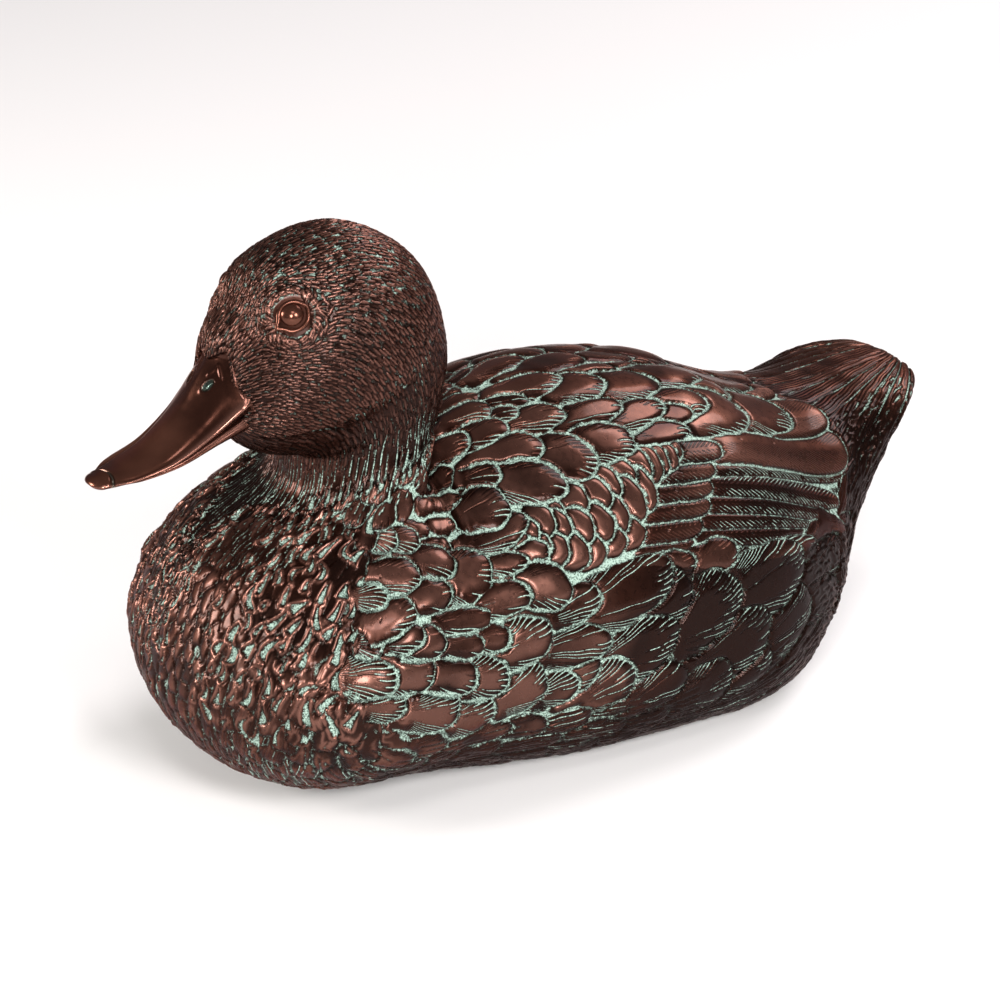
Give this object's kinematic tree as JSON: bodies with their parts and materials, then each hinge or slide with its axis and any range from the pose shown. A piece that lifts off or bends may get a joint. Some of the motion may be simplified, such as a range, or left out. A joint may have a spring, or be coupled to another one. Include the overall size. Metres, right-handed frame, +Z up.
{
  "type": "cast duck statue",
  "caption": "Life-size resting mallard hen statue, cast metal with engraved plumage and green patina, standing on its flat underside.",
  "frame": {"origin": "middle of the whole bird in plan, on the plane of its flat underside", "axes": "+Z up, the bill points along -Y, the bird's left side is +X"},
  "size_m": [0.1611, 0.342, 0.1974],
  "materials": {
    "bronze_plumage": "browned bronze relief, burnished on the high places, pale green verdigris in the recesses",
    "bronze_bill": "smooth browned bronze with brightly rubbed edges",
    "bronze_eye": "polished browned bronze"
  },
  "bodies": {
    "root": {"head": "bronze_plumage", "neck": "bronze_plumage", "breast": "bronze_plumage", "trunk": "bronze_plumage", "tail": "bronze_plumage", "wing_left": "bronze_plumage", "wing_right": "bronze_plumage", "bill_upper": "bronze_bill", "bill_lower": "bronze_bill", "eye_left": "bronze_eye", "eye_right": "bronze_eye"}
  },
  "joints": []
}
